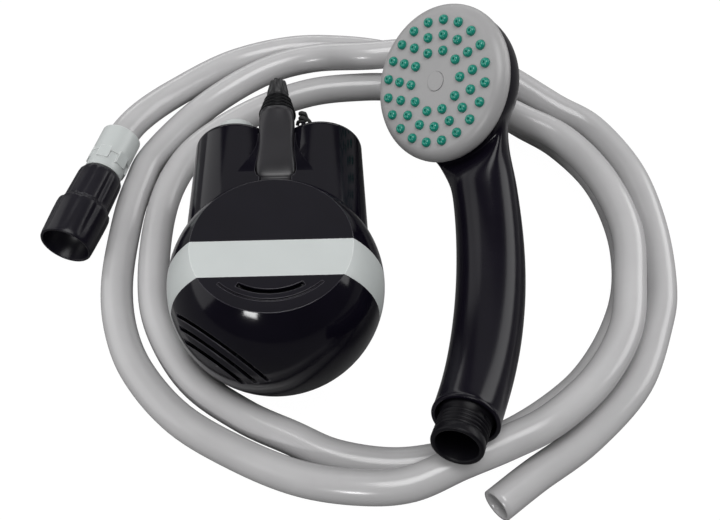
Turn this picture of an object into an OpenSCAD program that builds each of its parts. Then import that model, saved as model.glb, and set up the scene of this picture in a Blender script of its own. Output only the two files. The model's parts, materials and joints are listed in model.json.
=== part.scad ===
// Camp shower pump: a battery pump lying on its back, a hose in loose turns and a shower handset.
// Frame: origin at the middle of the pump's rest face, +Y along the pump to its hose spigot, +Z up. Sizes in mm.

/* [Pump body] */
// Diameter of the round pump end
bulb_d = 83; // [76:0.5:90]
// Height of the bulb centre above the rest face
bulb_h = 32; // [29:0.5:35]
// Height of the flat front above the bulb centre
front_h = 29; // [26:0.5:32]
// Wall of the bulb
wall = 2.2; // [1.6:0.1:3]
// Width of the pale belt
band_w = 15.6; // [12:0.2:20]
// Upper edge of the belt, from the bulb centre
band_top = 1.3; // [0:0.1:3]

/* [Battery tubes] */
// Outside diameter of a battery tube at its foot
tube_d = 38; // [36:0.1:38.4]
// How much narrower a tube is at its far end
tube_draft = 3.4; // [0:0.1:3.6]
// Distance of a tube axis from the middle plane
tube_x = 17.4; // [17.3:0.1:19]
// Room above the cells for contacts and button
end_room = 8.2; // [7:0.1:10]
// Wall at the thin far end of the tubes
tube_wall = 0.9; // [0.8:0.1:1.2]
// Rounding of the tube ends
tube_round = 3; // [2:0.5:6]
// Room round a cell in its tube
cell_room = 0.3; // [0.2:0.1:0.6]

/* [Spout] */
// Height of the outlet channel above the bulb centre
spout_rise = 13.5; // [13:0.5:15]
// How far the grey connector reaches past the tube ends
connector_rise = 4.5; // [3:0.5:7]
// Length of the ribbed sleeve
sleeve_len = 9.5; // [8:0.5:12]
// Length of the free spigot
spigot_len = 10.5; // [9:0.5:16]
// Diameter of the spigot where the hose sits
spigot_d = 9.7; // [9:0.1:9.9]

/* [Switch] */
// Diameter of the push button
button_d = 17.2; // [15:0.2:17.6]
// How far the push button stands out of the tube end
button_out = 5; // [3:0.5:7]
// Height of the button axis above the bulb centre
button_rise = 6; // [5:0.5:6.5]

/* [Handset] */
// Diameter of the spray face
face_d = 65; // [62:1:72]
// Diameter of the handle
handle_d = 26; // [24:0.5:27]
// Bend radius of the handle
handle_bend = 160; // [140:5:200]
// Diameter of a nozzle
nozzle_d = 3.6; // [3:0.1:4.2]

/* [Hose] */
// Outside diameter of the hose
hose_od = 13; // [12:0.1:13]
// Bore of the hose
hose_id = 10; // [9.8:0.1:10.6]

/* [Hidden] */
$fn = 64;
black = [0.06, 0.06, 0.07];
grey = [0.78, 0.8, 0.8];
satin = [0.27, 0.26, 0.29];
metal = [0.72, 0.72, 0.74];
teal = [0.06, 0.55, 0.42];
bulb_r = bulb_d / 2;
front_z = bulb_h + front_h;
foot = bulb_r - 1.5;
band_low = band_top - band_w;
tube_r = tube_d / 2;
tube_end_r = tube_r - tube_draft / 2;
tube_bore = 2 * (tube_end_r - tube_wall);
bore_r = tube_bore / 2;
cell_d = tube_bore - 2 * cell_room;
end_wall = 2;
door_low = 20.3;
part_gap = 0.3;
run = 0.05;

// Spaces inside the bulb, from the strainer up to the batteries
screen_y = -0.8145 * bulb_r;
screen_r = sqrt(pow(bulb_r - wall, 2) - screen_y * screen_y) - 5;
eye_y = screen_y + 0.8;
volute_low = -30;
chamber_low = -27.5;
wet_low = -17;
wet_top = -15;
can_top = 0.2;
dry_low = 0.5;
dry_top = 2.5;
plate_t = 0.5;
cell_low = dry_top + plate_t;
cell_len = 58.3;
nub_len = 1.5;
contact_y = cell_low + cell_len + nub_len;
tube_top = contact_y + end_room;
spout_z = bulb_h + spout_rise;
connector_top = tube_top + connector_rise;
sleeve_top = connector_top + sleeve_len;
spigot_top = sleeve_top + spigot_len;
button_top = tube_top + button_out;
button_z = bulb_h + button_rise;
chamber_r = 13.5;
volute_r = 17;
motor_r = 10;
shaft_r = 1;
pipe_r = 3;
pipe_bore_r = 2.2;

module along_y(y, z = bulb_h, x = 0) translate([x, y, z]) rotate([-90, 0, 0]) children();
module rod(y0, y1, r, z = bulb_h, x = 0) along_y(y0, z, x) cylinder(h = y1 - y0, r = r);
module slab(y0, y1) translate([-80, y0, -20]) cube([160, y1 - y0, 140]);
module above(z) translate([-80, -80, z]) cube([160, 260, 140]);

// Bulb with its two flats, and the space inside it
module flats(z0, z1) translate([-80, -80, z0]) cube([160, 160, z1 - z0]);
module bulb() intersection() {
    translate([0, 0, bulb_h]) sphere(r = bulb_r, $fn = 80);
    flats(0, front_z);
}
module cavity(t) intersection() {
    translate([0, 0, bulb_h]) sphere(r = bulb_r - t, $fn = 80);
    flats(t, front_z - t);
}

// One tube, drawn in slightly towards its rounded far end
tube_foot = 10;
module tube_solid(y0) along_y(y0) {
    len = tube_top - y0;
    straight = max(0, tube_foot - y0);
    rotate_extrude() {
        square([tube_end_r - tube_round, len]);
        polygon([[0, 0], [tube_r, 0], [tube_r, straight], [tube_end_r, len - tube_round], [0, len - tube_round]]);
        translate([tube_end_r - tube_round, len - tube_round]) intersection() {
            circle(r = tube_round, $fn = 48);
            square(tube_round);
        }
    }
}
module tubes(y0) for (s = [-1, 1]) translate([s * tube_x, 0, 0]) tube_solid(y0);
module bores(y0) for (s = [-1, 1]) rod(y0, tube_top - end_wall, bore_r, bulb_h, s * tube_x);

module front_housing() color(black) difference() {
    intersection() {
        union() {
            bulb();
            tubes(10);
            translate([-5, 20, bulb_h]) cube([10, tube_top - 20 - tube_round, 10]);
            valley_web();
            lanyard_post();
        }
        above(bulb_h);
        slab(band_top, 120);
    }
    cavity(wall);
    bores(-2);
    rod(20, 60, pipe_r + run, spout_z);
    rod(tube_top - 11, tube_top + 11, button_d / 2 + run, button_z, -tube_x);
}

module rear_housing() color(black) difference() {
    bulb();
    above(bulb_h);
    slab(-80, band_top);
    cavity(wall);
    for (s = [-1, 1]) rod(door_low - part_gap, 80, tube_r + part_gap, bulb_h, s * tube_x);
    translate([-tube_x, door_low - part_gap, bulb_h - tube_r / 2]) cube([2 * tube_x, 60, tube_r]);
}

module battery_door() color(black) difference() {
    intersection() {
        tubes(0);
        slab(door_low, 120);
    }
    above(bulb_h - part_gap);
    bores(-2);
}

module band_ring() color(grey) difference() {
    bulb();
    slab(-80, band_low);
    slab(band_top, 120);
    cavity(wall);
}

// Curved intake slots: arcs round a point low on the left of the bowl, each at a depth below the bowl's surface there
slot_w = 1.1;
slot_depths = [10, 7.1, 4.4];
slot_turn = [0, 105.5, -128.4];
slot_from = 114;
slot_span = 104;
module slots() translate([0, 0, bulb_h]) rotate(slot_turn) for (t = slot_depths) {
    d = bulb_r - t;
    inner = sqrt(pow(bulb_r - wall - 1, 2) - d * d);
    outer = sqrt(pow(bulb_r + 1, 2) - d * d);
    rotate([0, 0, slot_from]) rotate_extrude(angle = slot_span) translate([inner, d]) square([outer - inner, slot_w]);
}

// Shallow arcs below the belt on the flat front, round one centre
arc_depth = 0.9;
arc_centre = band_low + 16.5;
module front_arc(r, w, a, depth) translate([0, arc_centre, front_z - depth]) rotate([0, 0, 270 - a])
    rotate_extrude(angle = 2 * a) translate([r - w / 2, 0]) square([w, 2 * depth]);

module strainer_bowl() color(black) difference() {
    bulb();
    slab(band_low, 120);
    cavity(wall);
    slots();
    front_arc(23, 1.9, 31, wall + 1);
    front_arc(26.6, 1, 44, arc_depth);
}

module intake_screen() color(metal) difference() {
    rod(screen_y, eye_y, screen_r);
    for (k = [0:5]) rotate_about(60 * k) rod(screen_y - 1, eye_y + 1, screen_r * 0.08, bulb_h, screen_r * 0.21);
    for (k = [0:11]) rotate_about(30 * k) rod(screen_y - 1, eye_y + 1, screen_r * 0.08, bulb_h, screen_r * 0.73);
}
module rotate_about(a) translate([0, 0, bulb_h]) rotate([0, a, 0]) translate([0, 0, -bulb_h]) children();

module volute() color(satin) difference() {
    union() {
        rod(volute_low, wet_low, volute_r);
        rod(eye_y, volute_low + 1, 7);
        rod(volute_low, wet_low, 5, spout_z);
    }
    rod(chamber_low, wet_low + 1, chamber_r);
    rod(eye_y - 1, chamber_low + 1, 5.5);
    rod(chamber_low, wet_low + 1, pipe_bore_r, spout_z);
}

module wet_bulkhead() color(satin) difference() {
    cavity(wall);
    slab(-80, wet_low);
    slab(wet_top, 80);
    rod(wet_low - 1, wet_top + 1, 3.6);
    rod(wet_low - 1, wet_top + 1, pipe_r, spout_z);
}

module shaft_seal() color(black) difference() {
    rod(wet_low, wet_top, 3.6);
    rod(wet_low - 1, wet_top + 1, shaft_r + run);
}

module impeller() color(grey) difference() {
    union() {
        rod(-20.3, -18.9, 12.5);
        rod(-26.5, -18.9, 3.2);
        for (k = [0:5]) rotate_about(60 * k) translate([2.4, -26.5, bulb_h - 0.7]) cube([9.8, 7, 1.4]);
    }
    rod(-30, -10, shaft_r);
}

module motor_shaft() color(metal) rod(-26.9, -0.9, shaft_r);

module motor_rotor() color([0.6, 0.35, 0.2]) difference() {
    union() {
        rod(-11.5, -3.5, 7);
        rod(-12.6, -2, 2.6);
    }
    for (k = [0:4]) rotate_about(72 * k) translate([4.5, -12, bulb_h - 0.8]) cube([4, 9, 1.6]);
    rod(-20, 5, shaft_r);
}

module motor_can() color(metal) difference() {
    rod(-13.4, can_top, motor_r);
    rod(-14, -0.6, motor_r - 0.8);
}

module motor_magnets() color([0.3, 0.3, 0.32]) difference() {
    rod(-12.5, -1.5, motor_r - 0.8);
    rod(-13, -1, 7.5);
    translate([-20, -14, bulb_h - 2.5]) cube([40, 14, 5]);
}

module motor_end_cap() color(black) difference() {
    rod(wet_top, -13.4, motor_r);
    rod(wet_top - 1, -13, shaft_r + run);
}

module battery_bulkhead() color(satin) difference() {
    cavity(wall);
    slab(-80, dry_low);
    slab(dry_top, 80);
    rod(dry_low - 1, dry_top + 1, pipe_r, spout_z);
}

module battery_cell(x) {
    rod(cell_low, cell_low + cell_len, cell_d / 2, bulb_h, x);
    rod(cell_low + cell_len - 0.1, cell_low + cell_len + nub_len, 4.75, bulb_h, x);
}
module battery_cell_left() color([0.75, 0.55, 0.2]) battery_cell(-tube_x);
module battery_cell_right() color([0.75, 0.55, 0.2]) battery_cell(tube_x);

module contact_plates_lower() color(metal) {
    for (s = [-1, 1]) rod(dry_top, cell_low, 5, bulb_h, s * tube_x);
    translate([-tube_x, dry_top, bulb_h - 2.5]) cube([2 * tube_x, plate_t, 5]);
}

module contact_plates_upper() color(metal) for (s = [-1, 1]) {
    rod(contact_y, contact_y + plate_t, 4, bulb_h, s * tube_x);
    translate([s * (tube_x + 6.5) - 6.5, contact_y, bulb_h + 1]) cube([13, plate_t, 4]);
    rod(contact_y, tube_top - end_wall, 1.2, bulb_h + 3, s * (tube_x + 12));
}

module discharge_tube() color(satin) difference() {
    rod(wet_low, foot + 6, pipe_r, spout_z);
    rod(wet_low - 1, foot + 7, pipe_bore_r, spout_z);
}

// Bottle-shaped outline of the outlet connector: half widths along Y, from its foot on the bulb
bottle = [[5.6, foot], [7.2, foot + 1.4], [7.8, foot + 3.5], [7.7, foot + 7], [7.2, foot + 11], [6.9, foot + 15], [6.7, foot + 20],
    [6.9, connector_top - 11.5], [7.3, connector_top - 8], [7.2, connector_top - 4.5], [6.5, connector_top]];
connector_z = bulb_h + 18.8;
connector_low = bulb_h + 10;
// Its side outline: the foot slopes down to the bulb
module connector_side() rotate([90, 0, 90]) translate([0, 0, -20]) linear_extrude(40) polygon([[foot - 1, connector_low],
    [foot - 1, connector_z - 3], [foot + 1, connector_z - 1.6], [foot + 5, connector_z - 0.4], [foot + 9, connector_z],
    [connector_top + 1, connector_z], [connector_top + 1, connector_low]]);
// Web that fills the valley between the tubes and falls away from the bulb, with a pocket for the connector
module bottle_plan(room) polygon(concat([for (b = bottle) [b[0] + room, b[1]]],
    [for (k = [len(bottle) - 1:-1:0]) [-bottle[k][0] - room, bottle[k][1]]]));
web_rise = 18;
web_fall = 3.6;
web_end = tube_top - 5;
web_steps = 16;
module valley_web() difference() {
    rotate([90, 0, 90]) translate([0, 0, -tube_x]) linear_extrude(2 * tube_x) polygon(concat(
        [[foot - 8, bulb_h + 9], [foot - 8, bulb_h + web_rise + 0.3]],
        [for (k = [0:web_steps]) let (t = k / web_steps) [foot + t * (web_end - foot), bulb_h + web_rise - web_fall * (1 - cos(180 * t)) / 2]],
        [[web_end + 1, bulb_h + 9]]));
    translate([0, 0, connector_low - 0.5]) linear_extrude(20) bottle_plan(part_gap);
    translate([-6 - part_gap, foot - 3 - part_gap, connector_low]) cube([12 + 2 * part_gap, 4, 20]);
}

module outlet_connector() color(satin) difference() {
    union() {
        intersection() {
            translate([0, 0, connector_low]) linear_extrude(connector_z - connector_low)
                bottle_plan(0);
            connector_side();
        }
        translate([-6, foot - 3, bulb_h + 12]) cube([12, 4, 4.8]);
    }
    tubes(10);
    translate([0, 0, bulb_h]) sphere(r = bulb_r, $fn = 80);
    rod(30, foot + 6, pipe_r, spout_z);
    rod(30, connector_top + 1, pipe_bore_r, spout_z);
    rod(connector_top - 7, connector_top + 1, 3.2, spout_z);
}

// Ribbed rubber sleeve at the foot of the spigot
rib_step = sleeve_len / 4;
module spigot_sleeve() color(black) along_y(connector_top, spout_z) rotate_extrude() difference() {
    union() {
        polygon([[0, 0], [6.7, 0], [6.7, 2], [4.6, sleeve_top - connector_top], [0, sleeve_top - connector_top]]);
        for (k = [0:3]) translate([6.3 - 0.62 * k, rib_step * k + 1.1]) circle(r = 1.15, $fn = 24);
    }
    square([3.2, 20]);
    translate([-20, -20]) square([20, 60]);
}

module hose_spigot() color(satin) difference() {
    union() {
        rod(connector_top - 7, sleeve_top, 3.2, spout_z);
        along_y(sleeve_top, spout_z) rotate_extrude() polygon([[0, 0], [spigot_d / 2, 0], [spigot_d / 2, 4.5],
            [2.9, spigot_top - sleeve_top - 1], [2.2, spigot_top - sleeve_top], [0, spigot_top - sleeve_top]]);
    }
    rod(connector_top - 8, spigot_top + 1, 1.6, spout_z);
    for (k = [0:7]) along_y(sleeve_top + 5.5, spout_z) rotate([0, 0, 45 * k]) translate([3.3, -0.5, 0]) cube([4, 1, 20]);
}

// Push button through the end of the left tube, held by a flange inside the bore
button_low = tube_top - end_wall - 2;
flange_t = 1.2;
flange_w = 0.8;
button_round = 3;
module power_button() color(grey) intersection() {
    union() {
        along_y(button_low, button_z, -tube_x) rotate_extrude() {
            len = button_top - button_low;
            r = button_d / 2;
            square([r - button_round, len]);
            square([r, len - button_round]);
            translate([r - button_round, len - button_round]) intersection() {
                circle(r = button_round, $fn = 48);
                square(button_round);
            }
        }
        intersection() {
            rod(button_low, button_low + flange_t, button_d / 2 + flange_w, button_z, -tube_x);
            rod(button_low - 3, button_low + 3, bore_r - part_gap, bulb_h, -tube_x);
        }
    }
    above(bulb_h + part_gap);
}

// Lanyard loop hung on a post at the end of the right tube
post_x = 10.8;
post_z = bulb_h + 14.4;
post_r = 0.9;
loop_r = 2.3;
loop_cord = 1.6;
module lanyard_post() rod(tube_top - tube_round, tube_top + 3.6, post_r, post_z, post_x);
module lanyard_loop() color(black) translate([post_x, tube_top + 1.7, post_z + loop_r - loop_cord / 2 - post_r - part_gap])
    rotate([90, 0, 12]) rotate_extrude($fn = 32) translate([loop_r, 0]) circle(r = loop_cord / 2, $fn = 16);

// Hose route, start in the collar, in round numbers
route = [[-76.1, 77.1, 16], [-71.6, 92.4, 16], [-64.4, 107, 14.2], [-51, 125, 10], [-26, 147, 6.5], [2, 156, 6.5],
    [27, 156, 6.5], [50, 151, 6.5], [72, 139, 6.5], [91, 122, 6.5], [109, 105, 6.5], [125, 91, 6.5],
    [139, 69, 6.5], [145, 42, 6.5], [143.2, 15, 6.5], [134.6, -8, 6.5], [120, -29, 6.5], [102, -44, 6.5],
    [82, -55, 6.5], [62, -61, 6.5], [42, -63, 6.5], [21, -59, 6.5], [5, -51, 6.5], [-14, -41, 6.5],
    [-34, -25, 6.5], [-48, -1, 6.5], [-53, 22, 6.5], [-53, 53, 6.5], [-48, 77, 6.5], [-37, 96, 6.5],
    [-14, 115, 6.5], [12, 127, 6.5], [38, 130, 6.5], [58, 127, 8.5], [76, 120, 14.5], [92, 108, 18.5],
    [107, 95, 20], [124, 82, 20], [137, 60, 20], [143, 33, 20], [140, 7, 20], [134, -16, 20],
    [120, -37, 20], [101, -53, 20], [84, -61, 19], [66, -68, 18.5], [48, -75, 17], [30, -75, 15],
    [8, -69, 10.5], [-15, -57, 6.5], [-38, -42, 6.5], [-55, -22, 6.5], [-64, -2, 6.5], [-68, 22, 6.5],
    [-66.8, 53, 6.5], [-63.6, 73, 6.5], [-57.6, 91, 6.5], [-37, 119, 6.5], [-11, 137, 10], [13, 142, 14], [40, 137, 20],
    [64, 138, 20.5], [88, 134, 20], [108, 123, 14], [126, 112, 8.5], [142, 100, 6.5], [154.5, 74, 6.5],
    [158.6, 43, 6.5], [156.6, 13, 6.5], [151, -6, 6.5], [138, -32, 6.5], [116, -54, 6.5], [94, -69, 6.5], [79, -80, 6.5]];
hose_sides = 10;
last = len(route) - 1;
function unit(v) = v / norm(v);
function tangent(k) = unit(route[min(k + 1, last)] - route[max(k - 1, 0)]);
function side_of(k) = unit(cross(tangent(k), [0, 0, 1]));
function up_of(k) = cross(side_of(k), tangent(k));
function ring(k, r) = [for (j = [0:hose_sides - 1]) route[k] + r * (cos(360 * j / hose_sides) * side_of(k)
    + sin(360 * j / hose_sides) * up_of(k))];
function near(p, a, b) = let (t = max(0, min(1, ((p - a) * (b - a)) / ((b - a) * (b - a))))) norm(p - a - t * (b - a));
hose_gap = min([for (i = [0:last]) for (j = [0:last - 1]) if (abs(i - j) > 3 && abs(i - j - 1) > 3)
    near(route[i], route[j], route[j + 1])]) - hose_od;
hose_length = [for (k = 0, s = 0; k <= last; s = s + (k < last ? norm(route[k + 1] - route[k]) : 0), k = k + 1) s][last];
echo(hose_gap = hose_gap, hose_length = hose_length);

module hose() color([0.66, 0.66, 0.67]) {
    n = hose_sides;
    count = last + 1;
    outer = [for (k = [0:last]) each ring(k, hose_od / 2)];
    inner = [for (k = [0:last]) each ring(k, hose_id / 2)];
    base = count * n;
    polyhedron(concat(outer, inner), concat(
        [for (k = [0:last - 1]) for (j = [0:n - 1]) let (a = k * n + j, b = k * n + (j + 1) % n) each
            [[a, b, b + n], [a, b + n, a + n]]],
        [for (k = [0:last - 1]) for (j = [0:n - 1]) let (a = base + k * n + j, b = base + k * n + (j + 1) % n) each
            [[a, b + n, b], [a, a + n, b + n]]],
        [for (j = [0:n - 1]) let (a = j, b = (j + 1) % n) each [[a, base + a, base + b], [a, base + b, b]]],
        [for (j = [0:n - 1]) let (a = last * n + j, b = last * n + (j + 1) % n) each
            [[a, base + b, base + a], [a, b, base + b]]]), 4);
}

// Coupling at the start of the hose, mouth along local -Y
coupling_turn = -atan2(route[1][0] - route[0][0], route[1][1] - route[0][1]);
module coupling() translate(route[1]) rotate([0, 0, coupling_turn]) children();
module ring_y(y0, y1, r, n = 64) translate([0, y0, 0]) rotate([-90, 0, 0]) cylinder(h = y1 - y0, r = r, $fn = n);

collar_r = 8.7;
module hose_collar() color(grey) coupling() difference() {
    union() {
        ring_y(-22, -8, collar_r - 0.5);
        ring_y(-14, 0, collar_r);
        for (k = [0:5]) rotate([0, 60 * k, 0]) translate([-2.6, -18, collar_r - 3]) cube([5.2, 6, 3]);
    }
    ring_y(-30, 1, hose_od / 2 + run);
    ring_y(-3, 1, hose_od / 2 + 0.35);
}

nut_low = -61;
nut_step = -40.6;
nut_r = 10;
nut_wide_r = 11.6;
mouth_r = 9.8;
mouth_low = -50.2;
seat_r = 9.4;
module hose_tail() color(black) coupling() difference() {
    union() {
        ring_y(-20, -1, hose_id / 2 - 0.4);
        ring_y(-22, -16.2, hose_od / 2);
        ring_y(-46, -20, 6);
        ring_y(-47.6, -45.2, seat_r - 0.4);
    }
    ring_y(-60, 10, 3.4);
}

module coupling_nut() color(black) coupling() difference() {
    union() {
        ring_y(nut_step, -22.4, nut_r - 0.6);
        ring_y(nut_low, nut_step, nut_wide_r);
        for (k = [0:7]) rotate([0, 45 * k, 0]) translate([-2.9, nut_step, nut_r - 3]) cube([5.8, 16.4, 2.6]);
    }
    ring_y(-70, -20, 6 + run);
    ring_y(-70, mouth_low, mouth_r);
    ring_y(-70, -44.8, seat_r);
}

module coupling_washer() color([0.1, 0.1, 0.1]) coupling() difference() {
    ring_y(mouth_low + 0.2, -48, seat_r);
    ring_y(-60, -40, 5);
}

// Handset: origin at the middle of the spray face, handle along local -Y
face_tilt = 25;
handset_at = [65, 80, 60.1];
handset_turn = [2.5, -44, -8.6];
bend_low = -39;
bend_y = -78;
neck_angle = 24;
end_angle = 19.5;
face_r = face_d / 2;
handle_r = handle_d / 2;
module handset() translate(handset_at) rotate(handset_turn) children();
module head() rotate([face_tilt, 0, 0]) children();
module bend(r, a0, a1) translate([0, bend_y, bend_low + handle_bend]) rotate([0, 90, 0]) rotate([0, 0, -a1])
    rotate_extrude(angle = a0 + a1, $fn = 128) translate([handle_bend, 0]) circle(r = r, $fn = 48);
// Frame of the handle's lower end: local -Y along the thread
module tail_end() translate([0, bend_y - handle_bend * sin(end_angle), bend_low + handle_bend * (1 - cos(end_angle))])
    rotate([-end_angle, 0, 0]) children();

// A place on the handle's bend line, with local Y along it
module on_bend(a) translate([0, bend_y + handle_bend * sin(a), bend_low + handle_bend * (1 - cos(a))])
    rotate([a, 0, 0]) children();
handle_bore_r = 8.5;
inlet_bore_r = 7.6;
seat_z = -6;

// The neck widens sideways into the head, as two stems that spread from the handle
neck_from = 11;
neck_len = 30;
neck_spread = 14;
module neck() for (s = [-1, 1]) on_bend(neck_from) rotate([5, 0, -neck_spread * s]) ring_y(0, neck_len, handle_r - 1.4);

module handset_body() color(black) handset() {
    difference() {
        union() {
            head() rotate_extrude() polygon([[0, -30], [10, -29.5], [19, -27], [26, -22], [30.5, -15.5], [32, -9],
                [32, seat_z], [0, seat_z]]);
            bend(handle_r, neck_angle, end_angle);
            neck();
            tail_end() translate([0, -9, 0]) rotate([-90, 0, 0]) cylinder(h = 10, r1 = handle_r - 0.8, r2 = handle_r - 0.15);
        }
        head() rotate_extrude() polygon([[0, -27.4], [9.5, -27], [18, -24.6], [24.4, -20], [28.4, -14.5], [29.6, -9],
            [29.6, seat_z + 1], [0, seat_z + 1]]);
        head() translate([0, 0, seat_z]) cylinder(h = 30, r = face_r + part_gap);
        bend(handle_bore_r, neck_angle - 0.5, end_angle - 2);
        tail_end() ring_y(-20, 8, inlet_bore_r);
    }
    head() difference() {
        translate([0, 0, -28.6]) cylinder(h = 18, r = 4, $fn = 32);
        translate([0, 0, -20]) cylinder(h = 30, r = 1.5, $fn = 24);
    }
}

thread_r = 9.6;
module inlet_thread() color(black) handset() tail_end() difference() {
    ring_y(-21, -9, thread_r);
    ring_y(-30, 0, inlet_bore_r);
}

nozzle_rings = [[12.5, 10, 18], [18.75, 15, 12], [25, 20, 9]];
module at_nozzles() for (row = nozzle_rings) for (k = [0:row[1] - 1]) rotate([0, 0, row[2] + 360 * k / row[1]])
    translate([row[0], 0, 0]) children();

module face_plate() color(grey) handset() head() difference() {
    rotate_extrude() polygon([[0, -2.4], [face_r - 4, -2.4], [face_r - 4, -6], [face_r - 0.5, -6], [face_r, -5],
        [face_r, -2.6], [face_r - 0.9, -0.9], [face_r - 2.8, 0], [0, 0]]);
    at_nozzles() translate([0, 0, -5]) cylinder(h = 8, r = nozzle_d / 2, $fn = 16);
    translate([0, 0, -5]) cylinder(h = 8, r = 4, $fn = 32);
}

module nozzle_mat() color(teal) handset() head() difference() {
    union() {
        translate([0, 0, -4]) cylinder(h = 1.6, r = face_r - 4.2);
        at_nozzles() translate([0, 0, -2.6]) {
            cylinder(h = 3.6, r = nozzle_d / 2, $fn = 16);
            translate([0, 0, 3.6]) cylinder(h = 0.8, r1 = nozzle_d / 2, r2 = nozzle_d / 2 - 0.6, $fn = 16);
        }
    }
    at_nozzles() translate([0, 0, -5]) cylinder(h = 8, r = 0.5, $fn = 14);
    translate([0, 0, -5]) cylinder(h = 8, r = 4, $fn = 32);
}

module flow_disc() color(satin) handset() head() difference() {
    translate([0, 0, -6]) cylinder(h = 2, r = face_r - 4.2);
    for (k = [0:11]) rotate([0, 0, 30 * k]) translate([21, 0, -7]) cylinder(h = 4, r = 2, $fn = 24);
    translate([0, 0, -7]) cylinder(h = 4, r = 1.5, $fn = 24);
}

module face_seal() color([0.15, 0.15, 0.16]) handset() head() translate([0, 0, -7.2]) rotate_extrude()
    translate([28.4, 0.2]) square([1, 1]);

module face_screw() color(metal) handset() head() {
    translate([0, 0, -16]) cylinder(h = 14, r = 1.5 - run, $fn = 24);
    translate([0, 0, -4]) cylinder(h = 2, r = 3.6, $fn = 32);
}

module centre_plug() color(grey) handset() head() translate([0, 0, -2]) cylinder(h = 2.3, r = 4, $fn = 32);

front_housing();
rear_housing();
battery_door();
band_ring();
strainer_bowl();
intake_screen();
volute();
wet_bulkhead();
shaft_seal();
impeller();
motor_shaft();
motor_rotor();
motor_can();
motor_magnets();
motor_end_cap();
battery_bulkhead();
battery_cell_left();
battery_cell_right();
contact_plates_lower();
contact_plates_upper();
discharge_tube();
outlet_connector();
spigot_sleeve();
hose_spigot();
power_button();
lanyard_loop();
hose();
hose_collar();
hose_tail();
coupling_nut();
coupling_washer();
handset_body();
face_plate();
nozzle_mat();
centre_plug();
face_screw();
face_seal();
flow_disc();
inlet_thread();
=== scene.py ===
"""Camp shower pump: battery pump, coiled hose with its coupling, and shower handset, dressed over the CAD frame.

Lengths are in millimetres until a piece is finished, unless a name or comment says metres.
"""

import json
import math

import bmesh
import bpy
from mathutils import Euler, Matrix, Vector


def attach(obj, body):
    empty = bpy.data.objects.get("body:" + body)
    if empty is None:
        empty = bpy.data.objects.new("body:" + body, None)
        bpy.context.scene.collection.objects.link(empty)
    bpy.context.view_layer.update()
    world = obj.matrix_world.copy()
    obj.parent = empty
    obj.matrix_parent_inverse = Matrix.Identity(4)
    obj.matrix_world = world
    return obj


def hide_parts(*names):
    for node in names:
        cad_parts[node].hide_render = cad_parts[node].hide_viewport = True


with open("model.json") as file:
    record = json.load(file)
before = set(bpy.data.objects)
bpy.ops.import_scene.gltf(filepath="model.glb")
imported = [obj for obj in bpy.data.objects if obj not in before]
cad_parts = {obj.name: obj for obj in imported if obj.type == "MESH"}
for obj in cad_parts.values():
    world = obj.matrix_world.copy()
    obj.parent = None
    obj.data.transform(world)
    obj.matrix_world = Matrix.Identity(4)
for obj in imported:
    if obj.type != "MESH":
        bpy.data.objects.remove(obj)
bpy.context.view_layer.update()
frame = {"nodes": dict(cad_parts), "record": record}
nodes = frame["nodes"]

MM = 0.001


def turn(degrees, axis):
    """Rotation about one of the axes."""
    return Matrix.Rotation(math.radians(degrees), 4, axis)


def move(x, y, z):
    """Shift by millimetres."""
    return Matrix.Translation(Vector((x, y, z)) * MM)


# Frames of the CAD model

HANDSET_TILT = (math.radians(2.5), math.radians(-44), math.radians(-8.6))
HANDSET = move(65, 80, 60.1) @ Euler(HANDSET_TILT).to_matrix().to_4x4()
HEAD = HANDSET @ turn(25, "X")
BEND_RADIUS, BEND_Y, BEND_LOW = 160, -78, -39
NECK_ANGLE, TAIL_ANGLE = 17, -19.5
OUTLET_Z = 45.5
SLEEVE_Y = 75.5


def on_bend(angle):
    """Frame on the handle's bend line, with local Y along it towards the head."""
    a = math.radians(angle)
    y = BEND_Y + BEND_RADIUS * math.sin(a)
    z = BEND_LOW + BEND_RADIUS * (1 - math.cos(a))
    return HANDSET @ move(0, y, z) @ turn(angle, "X")


TAIL = on_bend(TAIL_ANGLE)

HOSE_RADIUS, HOSE_WALL = 6.5, 1.5
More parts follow.
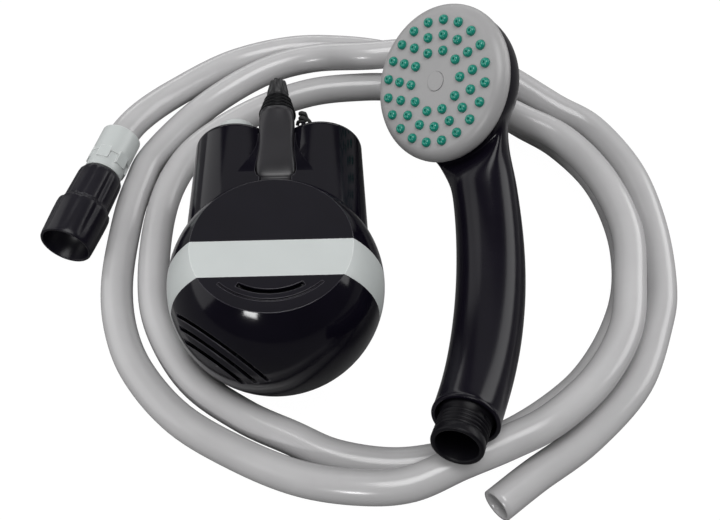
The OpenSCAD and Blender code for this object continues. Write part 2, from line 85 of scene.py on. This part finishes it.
# Centre line of the hose, from inside the coupling to the bare end
ROUTE = [
    (-76.1, 77.1, 16), (-71.6, 92.4, 16), (-64.4, 107, 14.2), (-51, 125, 10), (-26, 147, 6.5), (2, 156, 6.5),
    (27, 156, 6.5), (50, 151, 6.5), (72, 139, 6.5), (91, 122, 6.5), (109, 105, 6.5), (125, 91, 6.5),
    (139, 69, 6.5), (145, 42, 6.5), (143.2, 15, 6.5), (134.6, -8, 6.5), (120, -29, 6.5), (102, -44, 6.5),
    (82, -55, 6.5), (62, -61, 6.5), (42, -63, 6.5), (21, -59, 6.5), (5, -51, 6.5), (-14, -41, 6.5),
    (-34, -25, 6.5), (-48, -1, 6.5), (-53, 22, 6.5), (-53, 53, 6.5), (-48, 77, 6.5), (-37, 96, 6.5),
    (-14, 115, 6.5), (12, 127, 6.5), (38, 130, 6.5), (58, 127, 8.5), (76, 120, 14.5), (92, 108, 18.5),
    (107, 95, 20), (124, 82, 20), (137, 60, 20), (143, 33, 20), (140, 7, 20), (134, -16, 20),
    (120, -37, 20), (101, -53, 20), (84, -61, 19), (66, -68, 18.5), (48, -75, 17), (30, -75, 15),
    (8, -69, 10.5), (-15, -57, 6.5), (-38, -42, 6.5), (-55, -22, 6.5), (-64, -2, 6.5), (-68, 22, 6.5),
    (-66.8, 53, 6.5), (-63.6, 73, 6.5), (-57.6, 91, 6.5), (-37, 119, 6.5), (-11, 137, 10), (13, 142, 14),
    (40, 137, 20), (64, 138, 20.5), (88, 134, 20), (108, 123, 14), (126, 112, 8.5), (142, 100, 6.5),
    (154.5, 74, 6.5), (158.6, 43, 6.5), (156.6, 13, 6.5), (151, -6, 6.5), (138, -32, 6.5), (116, -54, 6.5),
    (94, -69, 6.5), (79, -80, 6.5),
]
(start_x, start_y, _), (exit_x, exit_y, _) = ROUTE[:2]
COUPLING = move(*ROUTE[1]) @ Matrix.Rotation(-math.atan2(exit_x - start_x, exit_y - start_y), 4, "Z")


# Finishes

MOTTLE_SCALE, GRAIN_SCALE, SCUFF_SCALE = 60, 2500, 220
GRAIN_DEPTH = 0.0002  # metres
BEVEL_SAMPLES = 6


def new_node(tree, kind, inputs=None, **settings):
    """Adds a shader node, with its settings and its constant inputs."""
    node = tree.nodes.new(kind)
    for key, value in settings.items():
        setattr(node, key, value)
    for socket, value in (inputs or {}).items():
        node.inputs[socket].default_value = value
    return node


def moulded_skin():
    """Node group for moulded plastic: a slow mottle, a fine grain and sparse handling scuffs."""
    tree = bpy.data.node_groups.new("moulded_skin", "ShaderNodeTree")
    scale = tree.interface.new_socket(name="Grain Scale", in_out="INPUT", socket_type="NodeSocketFloat")
    scale.default_value = GRAIN_SCALE
    for label in ("Mottle", "Grain", "Scuffs"):
        tree.interface.new_socket(name=label, in_out="OUTPUT", socket_type="NodeSocketFloat")
    given = new_node(tree, "NodeGroupInput")
    result = new_node(tree, "NodeGroupOutput")
    place = new_node(tree, "ShaderNodeTexCoord")
    mottle = new_node(tree, "ShaderNodeTexNoise", {"Scale": MOTTLE_SCALE, "Detail": 3})
    grain = new_node(tree, "ShaderNodeTexNoise", {"Detail": 2})
    stretch = new_node(tree, "ShaderNodeMapping", {"Rotation": (0.3, 0.5, 0.7), "Scale": (1, 0.06, 1)})
    scuff = new_node(tree, "ShaderNodeTexNoise", {"Scale": SCUFF_SCALE, "Detail": 4})
    sparse = new_node(tree, "ShaderNodeMapRange", {"From Min": 0.62, "From Max": 0.72})
    link = tree.links.new
    for texture in (mottle, grain, stretch):
        link(place.outputs["Object"], texture.inputs["Vector"])
    link(given.outputs["Grain Scale"], grain.inputs["Scale"])
    link(stretch.outputs["Vector"], scuff.inputs["Vector"])
    link(scuff.outputs["Fac"], sparse.inputs["Value"])
    link(mottle.outputs["Fac"], result.inputs["Mottle"])
    link(grain.outputs["Fac"], result.inputs["Grain"])
    link(sparse.outputs["Result"], result.inputs["Scuffs"])
    return tree


SKIN = moulded_skin()


def finish_of(name, dark, light, rough, grain=0.02, grain_scale=GRAIN_SCALE, scuff=0.04, edge=0.0003, painted_edge_highlight=None,
              specular=0.5, metallic=0):
    """A moulded finish, with its edges softened over the radius edge, in metres.

    Colour runs from dark to light with the mottle, and to painted_edge_highlight along the edges, a painted
    highlight: a lighter colour that stands for light caught on rounded edges. Roughness runs over
    rough = (low, high) with the mottle, and scuffs add to it.
    """
    material = bpy.data.materials.new(name)
    material.use_nodes = True
    tree = material.node_tree
    link = tree.links.new
    shader = tree.nodes["Principled BSDF"]
    shader.inputs["Specular IOR Level"].default_value = specular
    shader.inputs["Metallic"].default_value = metallic
    skin = new_node(tree, "ShaderNodeGroup", {"Grain Scale": grain_scale}, node_tree=SKIN)
    tint = new_node(tree, "ShaderNodeMix", {"A": (*dark, 1), "B": (*light, 1)}, data_type="RGBA")
    link(skin.outputs["Mottle"], tint.inputs["Factor"])
    colour = tint.outputs["Result"]
    gloss = new_node(tree, "ShaderNodeMapRange", {"To Min": rough[0], "To Max": rough[1]})
    worn = new_node(tree, "ShaderNodeMath", {1: scuff}, operation="MULTIPLY_ADD")
    link(skin.outputs["Mottle"], gloss.inputs["Value"])
    link(skin.outputs["Scuffs"], worn.inputs[0])
    link(gloss.outputs["Result"], worn.inputs[2])
    link(worn.outputs["Value"], shader.inputs["Roughness"])
    bump = new_node(tree, "ShaderNodeBump", {"Strength": grain, "Distance": GRAIN_DEPTH})
    link(skin.outputs["Grain"], bump.inputs["Height"])
    if edge:
        bevel = new_node(tree, "ShaderNodeBevel", {"Radius": edge}, samples=BEVEL_SAMPLES)
        link(bevel.outputs["Normal"], bump.inputs["Normal"])
    if painted_edge_highlight:
        # painted edge highlight: an edge is where the softened normal leaves the face's own, and there the colour
        # turns lighter to stand for light caught on the rounded edge
        face = new_node(tree, "ShaderNodeNewGeometry")
        match = new_node(tree, "ShaderNodeVectorMath", operation="DOT_PRODUCT")
        link(bevel.outputs["Normal"], match.inputs[0])
        link(face.outputs["Normal"], match.inputs[1])
        edge_highlight_mask = new_node(tree, "ShaderNodeMapRange", {"From Min": 0.995, "From Max": 0.9})
        link(match.outputs["Value"], edge_highlight_mask.inputs["Value"])
        pale = new_node(tree, "ShaderNodeMix", {"B": (*painted_edge_highlight, 1)}, data_type="RGBA")
        link(edge_highlight_mask.outputs["Result"], pale.inputs["Factor"])
        link(colour, pale.inputs["A"])
        colour = pale.outputs["Result"]
    link(colour, shader.inputs["Base Color"])
    link(bump.outputs["Normal"], shader.inputs["Normal"])
    return material


# the lighter edge colour of gloss_black is a painted highlight: a light line along the rounded edges, such as the
# flat front's rim
GLOSS_BLACK = finish_of(
    "gloss_black", (0.002, 0.0016, 0.0036), (0.0043, 0.0036, 0.0074), (0.08, 0.15),
    edge=0.0005, painted_edge_highlight=(0.062, 0.059, 0.068), specular=0.21)
HANDSET_BLACK = finish_of(
    "handset_black", (0.0028, 0.0022, 0.0046), (0.0058, 0.0048, 0.009), (0.17, 0.23),
    scuff=0.025, edge=0.0004, specular=0.17)
THREAD_BLACK = finish_of(
    "thread_black", (0.002, 0.0018, 0.0028), (0.0045, 0.0041, 0.006), (0.34, 0.46), edge=0.0002, specular=0.13)
# the lighter edge colour of pale_plastic is a painted highlight: a light line along the band's rounded edges
PALE = finish_of(
    "pale_plastic", (0.41, 0.433, 0.428), (0.455, 0.48, 0.475), (0.29, 0.38),
    edge=0.0006, painted_edge_highlight=(0.62, 0.64, 0.635))
FACE_PALE = finish_of("face_pale", (0.265, 0.262, 0.265), (0.295, 0.292, 0.294), (0.34, 0.46))
SATIN = finish_of(
    "satin_grey", (0.0095, 0.0088, 0.0108), (0.0145, 0.0135, 0.0165), (0.29, 0.4),
    grain=0.08, edge=0.0006, specular=0.36)
INNER = finish_of("inner_plastic", (0.08, 0.08, 0.085), (0.12, 0.12, 0.125), (0.4, 0.55))
RUBBER = finish_of(
    "black_rubber", (0.0018, 0.0018, 0.0024), (0.004, 0.004, 0.0048), (0.29, 0.37),
    grain=0.05, edge=0, specular=0.07)
TIP_BLACK = finish_of(
    "tip_black", (0.0045, 0.0045, 0.0055), (0.009, 0.009, 0.0102), (0.29, 0.36),
    grain=0.05, edge=0, specular=0.28)
NUT_BLACK = finish_of(
    "nut_black", (0.0034, 0.0028, 0.0056), (0.0068, 0.0058, 0.0105), (0.285, 0.34), edge=0, specular=0.22)
CORD = finish_of(
    "black_cord", (0.006, 0.006, 0.006), (0.014, 0.014, 0.014), (0.6, 0.75), grain=0.4, grain_scale=4000)
VINYL = finish_of(
    "grey_vinyl", (0.37, 0.366, 0.3705), (0.43, 0.4255, 0.4305), (0.2, 0.24), grain=0.03, scuff=0.025, edge=0)
TEAL = finish_of("teal_rubber", (0.003, 0.165, 0.118), (0.006, 0.23, 0.17), (0.18, 0.24), scuff=0.025, edge=0.0002)
STEEL = finish_of("bare_steel", (0.5, 0.5, 0.51), (0.6, 0.6, 0.61), (0.29, 0.38), metallic=1)
COPPER = finish_of("wound_copper", (0.42, 0.17, 0.08), (0.55, 0.26, 0.13), (0.3, 0.42), metallic=1)
MAGNET = finish_of("grey_ferrite", (0.06, 0.06, 0.065), (0.09, 0.09, 0.095), (0.5, 0.65))
CELL = finish_of("cell_wrap", (0.42, 0.26, 0.05), (0.5, 0.33, 0.08), (0.29, 0.36))

FINISH = {
    "housing": GLOSS_BLACK, "handset": HANDSET_BLACK, "pale": PALE, "satin": SATIN, "inner_plastic": INNER,
    "rubber": RUBBER, "cord": CORD, "hose": VINYL, "nozzle": TEAL, "steel": STEEL, "copper": COPPER,
    "magnet": MAGNET, "cell": CELL,
}
for part in frame["record"]["subparts"]:
    materials = nodes[part["node"]].data.materials
    materials.clear()
    materials.append(FINISH[part["material_slot"]])
for name in ("face_plate", "centre_plug"):
    nodes[name].data.materials[0] = FACE_PALE


# Helpers for pieces

PROFILE_WELD = 0.0005
PIECE_WELD = 0.00001  # metres
FLUTE_EDGE = 0.35  # depth at a flute's two edges, as a share of its full depth


def piece(name, bm, body, material, replaced, place=None):
    """Turns a bmesh in millimetres into a finished piece: placed, normals outwards, riding on its body."""
    bmesh.ops.transform(bm, matrix=Matrix.Scale(MM, 4), verts=bm.verts)
    if place is not None:
        bmesh.ops.transform(bm, matrix=place, verts=bm.verts)
    bmesh.ops.remove_doubles(bm, verts=bm.verts, dist=PIECE_WELD)
    bmesh.ops.recalc_face_normals(bm, faces=bm.faces)
    mesh = bpy.data.meshes.new(name)
    bm.to_mesh(mesh)
    bm.free()
    mesh.shade_smooth()
    mesh.materials.append(material)
    obj = bpy.data.objects.new(name, mesh)
    bpy.context.scene.collection.objects.link(obj)
    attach(obj, body)
    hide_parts(*replaced)
    return obj


def of_kind(geom, kind):
    """The elements of one kind among the results of an operator."""
    return [g for g in geom if isinstance(g, kind)]


def edges_between(bm, verts):
    """The edges with both ends among the corners given, in the mesh's own order."""
    corners = set(verts)
    return [e for e in bm.edges if corners.issuperset(e.verts)]


def chain(bm, points):
    """An open line of edges through the points."""
    verts = [bm.verts.new(p) for p in points]
    edges = [bm.edges.new(pair) for pair in zip(verts, verts[1:])]
    return verts + edges


def turned(bm, profile, steps, about="Z"):
    """Spins a profile of (radius, height) pairs about local Z or Y, with the height along that axis."""
    if about == "Z":
        points, axis = [(r, 0, h) for r, h in profile], (0, 0, 1)
    else:
        points, axis = [(r, h, 0) for r, h in profile], (0, 1, 0)
    bmesh.ops.spin(bm, geom=chain(bm, points), cent=(0, 0, 0), axis=axis, angle=math.tau, steps=steps,
                   use_merge=True, use_normal_flip=False)
    bmesh.ops.remove_doubles(bm, verts=bm.verts, dist=PROFILE_WELD)


def ringed(bm, rows, sides, point):
    """Grows a skin ring by ring, with point(row, angle, j) as the place of corner j.

    Returns the corners and the edges of the first ring.
    """
    corners = bmesh.ops.create_circle(bm, segments=sides, radius=1)["verts"]
    first = ring = edges_between(bm, corners)
    top = list(corners)
    for k, row in enumerate(rows):
        if k:
            grown = bmesh.ops.extrude_edge_only(bm, edges=ring)["geom"]
            fresh = set(of_kind(grown, bmesh.types.BMVert))
            top = [next(e.other_vert(v) for e in v.link_edges if e.other_vert(v) in fresh) for v in top]
            ring = of_kind(grown, bmesh.types.BMEdge)
        for j, v in enumerate(top):
            v.co = point(row, math.tau * j / sides, j)
    return corners, first


def fluted(bm, rows, sides, flutes):
    """Rings of (place along Y, radius, flute depth) with rounded flutes all round."""
    share = sides // flutes

    def point(row, angle, j):
        y, radius, depth = row
        step = j % share
        if step >= 2:
            depth *= FLUTE_EDGE if step in (2, share - 1) else 0
        return math.sin(angle) * (radius - depth), y, math.cos(angle) * (radius - depth)

    ringed(bm, rows, sides, point)


def smooth_line(points, steps):
    """A smooth line through the points, with steps to each stretch."""
    pts = [Vector(p) for p in points]
    pts = [2 * pts[0] - pts[1]] + pts + [2 * pts[-1] - pts[-2]]
    line = []
    for a, b, c, d in zip(pts, pts[1:], pts[2:], pts[3:]):
        square = 2 * a - 5 * b + 4 * c - d
        cube = 3 * b - a - 3 * c + d
        for k in range(steps):
            t = k / steps
            line.append(0.5 * (2 * b + (c - a) * t + square * t * t + cube * t ** 3))
    return line + [pts[-2]]


def tube(name, line, radius, sides):
    """A round tube along a line, as an open skin."""
    curve = bpy.data.curves.new(name, "CURVE")
    curve.dimensions = "3D"
    curve.bevel_depth = radius * MM
    curve.bevel_resolution = sides // 2 - 2
    curve.use_fill_caps = False
    spline = curve.splines.new("POLY")
    spline.points.add(len(line) - 1)
    for point, p in zip(spline.points, line):
        point.co = (*(p * MM), 1)
    holder = bpy.data.objects.new(name, curve)
    bpy.context.scene.collection.objects.link(holder)
    bpy.context.view_layer.update()
    mesh = bpy.data.meshes.new_from_object(holder.evaluated_get(bpy.context.evaluated_depsgraph_get()))
    bpy.data.objects.remove(holder)
    bpy.data.curves.remove(curve)
    bm = bmesh.new()
    bm.from_mesh(mesh)
    bpy.data.meshes.remove(mesh)
    bmesh.ops.scale(bm, vec=(1 / MM,) * 3, verts=bm.verts)
    return bm


# Pieces


def nut_skin():
    """Coupling nut: two tiers with broad flutes, a rounded shoulder and a thin open mouth."""
    bore = [(-44.8, 9.4, 0), (-50.2, 9.4, 0), (-50.2, 9.8, 0), (-60.5, 9.8, 0)]
    lip = [(-61, 10.1, 0), (-61, 10.7, 0), (-60.5, 11, 0), (-58.8, 11.15, 0.1)]
    wide_tier = [(-55, 11.3, 0.4), (-48, 11.55, 0.55), (-44, 11.6, 0.6), (-42.4, 11.5, 0.6)]
    shoulder = [(-41.3, 11.15, 0.6), (-40.7, 10.5, 0.6), (-40.4, 10.1, 0.65)]
    narrow_tier = [(-39, 9.95, 0.65), (-30, 9.75, 0.65), (-26, 9.65, 0.6), (-24, 9.4, 0.45)]
    back = [(-22.9, 8.8, 0.2), (-22.4, 8, 0), (-22.4, 6.2, 0)]
    bm = bmesh.new()
    fluted(bm, bore + lip + wide_tier + shoulder + narrow_tier + back, sides=80, flutes=8)
    return piece("nut_skin", bm, "nut", NUT_BLACK, ["coupling_nut"], place=COUPLING)


def hose(nut):
    """Vinyl hose along its route, with an open bore."""
    line = smooth_line(ROUTE, steps=8)
    bm = tube("hose_line", line, HOSE_RADIUS, sides=24)
    obj = piece("hose_skin", bm, "pump", VINYL, ["hose"])
    wall = obj.modifiers.new("wall", "SOLIDIFY")
    wall.thickness = HOSE_WALL * MM
    wall.offset = -1
    length = sum((b - a).length for a, b in zip(line, line[1:])) * MM


def handset_shell():
    """Head dome and curved handle in one smooth skin, open under the spray face."""
    dome = [(0, -30), (6, -29.8), (13, -28.9), (19.5, -26.8), (25.5, -22.6), (29.6, -17), (31.4, -11.5),
            (31.6, -6.6), (31.3, -6.05), (29, -6)]
    neck_half_angle, neck_low, neck_high, mouth_top = 34, -28, -9.5, -8
    swell = 1.008  # makes up for what the subdivision draws in
    fillet_reach, fillet_pull = 0.74, 0.8
    to_handset = HANDSET.inverted()
    bm = bmesh.new()
    turned(bm, dome, 40)

    def in_neck(face):
        c = face.calc_center_median()
        return abs(math.degrees(math.atan2(c.x, -c.y))) < neck_half_angle and neck_low < c.z < neck_high

    bmesh.ops.delete(bm, geom=[f for f in bm.faces if in_neck(f)], context="FACES")
    mouth = [e for e in bm.edges if e.is_boundary and all(v.co.z < mouth_top for v in e.verts)]
    bmesh.ops.transform(bm, matrix=to_handset @ HEAD, verts=bm.verts)
    # the handle grows ring by ring down the bend line, and turns in at its end
    grip = [(NECK_ANGLE, 13.2), (14, 13.1), (9, 13.3), (3, 13.5), (-3, 13.45), (-9, 13.2), (-14, 12.8), (-18, 12.45)]
    end = [(-3, 12.35), (-7.2, 12.3), (-7.8, 12.55), (-8.7, 12.6), (-9, 12.3), (-9, 11.2), (-8.8, 10.9), (-5, 10.8)]
    rows = [(on_bend(a), r) for a, r in grip] + [(TAIL @ move(0, y, 0), r) for y, r in end]

    def point(row, angle, _):
        where, radius = row
        spoke = Vector((math.cos(angle), 0, math.sin(angle))) * radius * swell * MM
        return to_handset @ where @ spoke / MM

    corners, first = ringed(bm, rows, len(mouth), point)
    bridge = bmesh.ops.bridge_loops(bm, edges=mouth + first)["edges"]
    # tight fillet: the handle runs on straight until close to the head
    along = ((to_handset @ on_bend(NECK_ANGLE)).to_3x3() @ Vector((0, 1, 0))).normalized()
    fillet = bmesh.ops.subdivide_edges(bm, edges=bridge, cuts=1, use_grid_fill=True)["geom_inner"]
    for v in of_kind(fillet, bmesh.types.BMVert):
        ends = [e.other_vert(v) for e in v.link_edges]
        foot = next((w for w in ends if w in corners), None)
        head = next((w for w in ends if w is not foot and w not in fillet), None)
        if foot and head:
            straight = foot.co + along * fillet_reach * (head.co - foot.co).dot(along)
            v.co = v.co.lerp(straight, fillet_pull)
    obj = piece("handset_shell", bm, "handset", HANDSET_BLACK, ["handset_body"], place=HANDSET)
    smooth = obj.modifiers.new("smooth", "SUBSURF")
    smooth.levels = smooth.render_levels = 2


def inlet_end():
    """Threaded inlet: core with a plain end ring, and a helical ridge round it."""
    core = [(9.9, -7), (9.4, -8.6), (8.75, -9.2), (8.7, -16.6)]
    end_ring = [(9.3, -17.2), (9.55, -17.7), (9.58, -20.3), (9.4, -20.8), (9, -21)]
    bore = [(8.3, -21), (7.9, -20.8), (7.7, -20.3), (7.6, -12), (7.6, 6)]
    ridge = [(8.5, -9.2, 0), (9.5, -9.85, 0), (9.5, -10.15, 0), (8.5, -10.8, 0)]
    pitch, turns, steps = 1.7, 4, 56
    bm = bmesh.new()
    turned(bm, core + end_ring + bore, 72, about="Y")
    bmesh.ops.spin(bm, geom=chain(bm, ridge), cent=(0, 0, 0), axis=(0, 1, 0), dvec=(0, -pitch / steps, 0),
                   angle=math.tau * turns, steps=turns * steps, use_merge=False, use_normal_flip=False)
    piece("inlet_end", bm, "handset", THREAD_BLACK, ["inlet_thread"], place=TAIL)


def spray_face():
    """Spray plate with a broad rolled rim."""
    radius, roll = 32.5, 5.2
    middle = [(3.95, -0.4), (4.03, -0.35), (4.04, -0.05), (4.1, 0), (4.3, 0), (5, 0), (12, 0), (20, 0)]
    rim = [(radius - roll * (1 - math.sin(a)), -roll + roll * math.cos(a))
           for a in (math.radians(9 * k) for k in range(11))]
    back = [(32.4, -6), (30, -6), (28.5, -5.5)]
    bm = bmesh.new()
    turned(bm, middle + rim + back, 96)
    piece("spray_face", bm, "handset", FACE_PALE, ["face_plate"], place=HEAD)


def nozzles():
    """Soft spray nozzles in three rings, each a dome with a small mouth."""
    mouth = [(0, 0.7), (0.42, 0.75), (0.5, 1.6)]
    dome = [(0.68, 1.78), (1.15, 1.74), (1.65, 1.4), (1.95, 0.8), (2.05, 0), (2.05, -0.5)]
    rings = ((12.5, 10, 18), (18.75, 15, 12), (25, 20, 9))  # radius, count, degrees to the first
    bm = bmesh.new()
    turned(bm, mouth + dome, 20)
    pattern = list(bm.verts) + list(bm.edges) + list(bm.faces)
    for radius, count, start in rings:
        for k in range(count):
            copy = bmesh.ops.duplicate(bm, geom=pattern)["geom"]
            spoke = Matrix.Rotation(math.radians(start + 360 * k / count), 3, "Z") @ Vector((radius, 0, 0))
            bmesh.ops.translate(bm, vec=spoke, verts=of_kind(copy, bmesh.types.BMVert))
    bmesh.ops.delete(bm, geom=of_kind(pattern, bmesh.types.BMVert), context="VERTS")
    piece("spray_nozzles", bm, "handset", TEAL, ["nozzle_mat"], place=HEAD)


def tongue():
    """Bottle-shaped outlet connector: rounded edges, a foot that slopes to the bulb and a crown under the sleeve."""
    plan = [(40, 4.6), (40.1, 5.4), (40.5, 6.2), (41.2, 7), (42.2, 7.6), (43.4, 7.8), (47, 7.75), (51, 7.4),
            (55, 7), (59.5, 6.8), (63.5, 7), (67.5, 7.3), (71, 7.25), (73.5, 7), (75.4, 6.7)]  # y, half width
    under, top, squareness, sides = 43.8, 50.8, 0.42, 56

    def slope(y):
        return 1.8 * max(0, (49 - y) / 9) ** 2 + 1.3 * max(0, 40.8 - y)

    def crown(y):
        return 2.3 * max(0, (y - 60) / 15.4) ** 2

    def point(row, angle, _):
        y, half = row
        x, z = (math.copysign(abs(c) ** squareness, c) for c in (math.cos(angle), math.sin(angle)))
        over = top - slope(y)
        return half * x, y, 0.5 * (over + under) + 0.5 * (over - under) * z + max(0, z) * crown(y) * (1 - x * x)

    bm = bmesh.new()
    ringed(bm, plan, sides, point)
    bmesh.ops.holes_fill(bm, edges=[e for e in bm.edges if e.is_boundary], sides=sides)
    tab = bmesh.ops.create_cube(bm, size=1)["verts"]
    bmesh.ops.scale(bm, vec=(12, 4, 4.8), verts=tab)
    bmesh.ops.translate(bm, vec=(0, 39, 46.4), verts=tab)
    bmesh.ops.bevel(bm, geom=edges_between(bm, tab), offset=0.5, segments=2, profile=0.5, affect="EDGES", material=-1)
    piece("tongue", bm, "pump", SATIN, ["outlet_connector"])


def ribbed_sleeve():
    """Rubber sleeve on the outlet, with four rounded ribs that step down to the tip."""
    bore, length, count = 3.3, 9.5, 4
    largest, step, bulge, pitch = 6.55, 0.62, 1.15, 2.375
    ribs = [(largest - step * k + bulge * math.cos(a), pitch * (k + 0.5) + bulge * math.sin(a))
            for k in range(count) for a in (math.radians(d) for d in range(-80, 81, 20))]
    bm = bmesh.new()
    turned(bm, [(bore, 0), (6.6, 0)] + ribs + [(4.9, length), (bore, length), (bore, 0)], 48, about="Y")
    piece("ribbed_sleeve", bm, "pump", RUBBER, ["spigot_sleeve"], place=move(0, SLEEVE_Y, OUTLET_Z))


def fluted_tip():
    """Tapered hose spigot with eight flutes and an open bore."""
    bore = [(78, 1.6, 0), (95.2, 1.6, 0), (95.5, 1.9, 0)]
    taper = [(95.5, 2.9, 0.4), (95.3, 3.3, 0.7), (94.6, 3.55, 0.9), (92, 4.05, 1), (89.5, 4.55, 0.95),
             (87.5, 4.8, 0.8), (86.3, 4.85, 0.5), (85.7, 4.85, 0), (85, 4.85, 0)]
    root = [(85, 3.2, 0), (78, 3.2, 0), (78, 1.6, 0)]
    bm = bmesh.new()
    fluted(bm, bore + taper + root, sides=48, flutes=8)
    piece("fluted_tip", bm, "pump", TIP_BLACK, ["hose_spigot"], place=move(0, 0, OUTLET_Z))


def lanyard():
    """Short cord with a knot beside the outlet, tied off behind the right tube."""
    knot, x, y, z = 1.15, 10.6, 71.7, 47.3  # radius of the knot's coil, and where it starts
    start = [(8.3, 72, 44.6), (8.9, 72.2, 46.2)]
    coil = [(x + knot * math.cos(a), y + 0.42 * a, z + knot * math.sin(a)) for a in (0.9 * k for k in range(14))]
    end = [(12.3, 73.6, 46.4), (13.4, 72.6, 45.6), (13.9, 71.6, 44.4)]
    bm = tube("lanyard_line", smooth_line(start + coil + end, steps=4), 0.75, sides=12)
    piece("lanyard_knot", bm, "pump", CORD, ["lanyard_loop"])


hose(nut_skin())
handset_shell()
inlet_end()
spray_face()
nozzles()
tongue()
ribbed_sleeve()
fluted_tip()
lanyard()


# Stage, light and camera, in metres

FLOOR_Z = -0.0003
FLOOR_GREY = 0.2
FLOOR_GLOW, FLOOR_GLOW_SHARE = 1.13, 0.88
WORLD_LIGHT, WORLD_SEEN = 0.08, 1
MIDDLE = (0.03, 0.03, 0.02)
LAMPS = (  # name, place, aim, size, watts
    ("top_softbox", (0.1, -0.15, 1.6), MIDDLE, (0.9, 0.9), 18),
    ("left_softbox", (-1.35, 0.35, 0.7), MIDDLE, (2.2, 1.5), 14),
    ("right_softbox", (1.45, 0.5, 0.65), MIDDLE, (1.5, 0.8), 14),
    ("back_bank", (-0.1, 0.98, 1.2), MIDDLE, (3.2, 0.55), 3.4),
    ("back_strip", (0, 1.5, 0.42), MIDDLE, (1.6, 0.25), 4),
    ("front_flash", (-0.62, -1.3, 0.74), (0, 0, 0.05), (0.36, 0.13), 7),
)
CAMERA_PLACE, CAMERA_AIM = Vector((25.4, -222.0, 366.2)) * MM, Vector((33.0, 34.3, 0)) * MM


def stage_floor():
    """Plain pale floor: near white to the camera, with soft shadows, and grey to everything else."""
    bm = bmesh.new()
    bmesh.ops.create_grid(bm, x_segments=1, y_segments=1, size=3)
    mesh = bpy.data.meshes.new("floor")
    bm.to_mesh(mesh)
    bm.free()
    floor = bpy.data.objects.new("floor", mesh)
    floor.location.z = FLOOR_Z
    bpy.context.scene.collection.objects.link(floor)
    material = bpy.data.materials.new("pale_floor")
    material.use_nodes = True
    tree = material.node_tree
    link = tree.links.new
    tree.nodes.remove(tree.nodes["Principled BSDF"])
    matt = new_node(tree, "ShaderNodeBsdfDiffuse", {"Color": (FLOOR_GREY, FLOOR_GREY, FLOOR_GREY, 1)})
    glow = new_node(tree, "ShaderNodeEmission", {"Strength": FLOOR_GLOW})
    seen = new_node(tree, "ShaderNodeLightPath")
    share = new_node(tree, "ShaderNodeMath", {1: FLOOR_GLOW_SHARE}, operation="MULTIPLY")
    mix = new_node(tree, "ShaderNodeMixShader")
    link(seen.outputs["Is Camera Ray"], share.inputs[0])
    link(share.outputs["Value"], mix.inputs["Fac"])
    link(matt.outputs["BSDF"], mix.inputs[1])
    link(glow.outputs["Emission"], mix.inputs[2])
    link(mix.outputs["Shader"], tree.nodes["Material Output"].inputs["Surface"])
    mesh.materials.append(material)


def facing(place, aim):
    """Rotation of a lamp or camera at place that looks at aim."""
    return (Vector(aim) - Vector(place)).to_track_quat("-Z", "Y").to_euler()


def studio():
    """White background to the camera, a faint even light to the rest, and the lamps."""
    scene = bpy.context.scene
    scene.view_settings.view_transform = "Standard"
    world = bpy.data.worlds.new("studio")
    world.use_nodes = True
    tree = world.node_tree
    back = tree.nodes["Background"]
    back.inputs["Color"].default_value = (1, 1, 1, 1)
    seen = new_node(tree, "ShaderNodeLightPath")
    level = new_node(tree, "ShaderNodeMapRange", {"To Min": WORLD_LIGHT, "To Max": WORLD_SEEN})
    tree.links.new(seen.outputs["Is Camera Ray"], level.inputs["Value"])
    tree.links.new(level.outputs["Result"], back.inputs["Strength"])
    scene.world = world
    for name, place, aim, size, watts in LAMPS:
        light = bpy.data.lights.new(name, "AREA")
        light.shape = "RECTANGLE"
        light.size, light.size_y = size
        light.energy = watts
        obj = bpy.data.objects.new(name, light)
        obj.location = place
        obj.rotation_euler = facing(place, aim)
        scene.collection.objects.link(obj)


def photo_camera():
    """Camera in the place of the one that took the photograph."""
    data = bpy.data.cameras.new("photo_camera")
    data.lens, data.sensor_width = 52.25, 36
    data.clip_start, data.clip_end = 0.01, 20
    camera = bpy.data.objects.new("photo_camera", data)
    camera.location = CAMERA_PLACE
    camera.rotation_euler = facing(CAMERA_PLACE, CAMERA_AIM)
    bpy.context.scene.collection.objects.link(camera)
    bpy.context.scene.camera = camera


stage_floor()
studio()
photo_camera()
